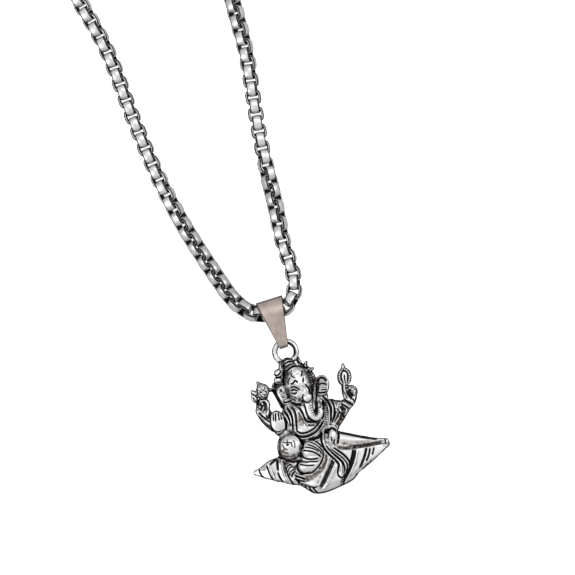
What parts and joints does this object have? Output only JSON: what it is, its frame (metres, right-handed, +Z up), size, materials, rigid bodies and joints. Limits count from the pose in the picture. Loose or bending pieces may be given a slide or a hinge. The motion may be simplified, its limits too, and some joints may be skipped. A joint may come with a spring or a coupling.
{
  "type": "ganesha pendant necklace",
  "caption": "Antiqued cast pendant of an elephant-headed seated figure on a conch shell, hung by a tapered bail on a closed chain of round box links.",
  "frame": {"origin": "on the surface that the necklace lies on, under the middle of its box", "axes": "+Y along the loop from the pendant to the clasp, +X to the right of the loop seen from above, +Z up out of the surface, the side that the pendant's figure faces"},
  "size_m": [0.0578, 0.279, 0.0075],
  "materials": {
    "antiqued_casting": "cast, polished high spots over black recesses",
    "brushed_bail": "brushed along its length, polished rims",
    "polished_chain": "polished, dark inside the links",
    "clasp_steel": "polished"
  },
  "bodies": {
    "root": {"pendant": "antiqued_casting", "bail": "brushed_bail", "chain_left": "polished_chain", "chain_right": "polished_chain", "clasp": "clasp_steel", "jump_ring_left": "clasp_steel", "jump_ring_right": "clasp_steel"}
  },
  "joints": []
}
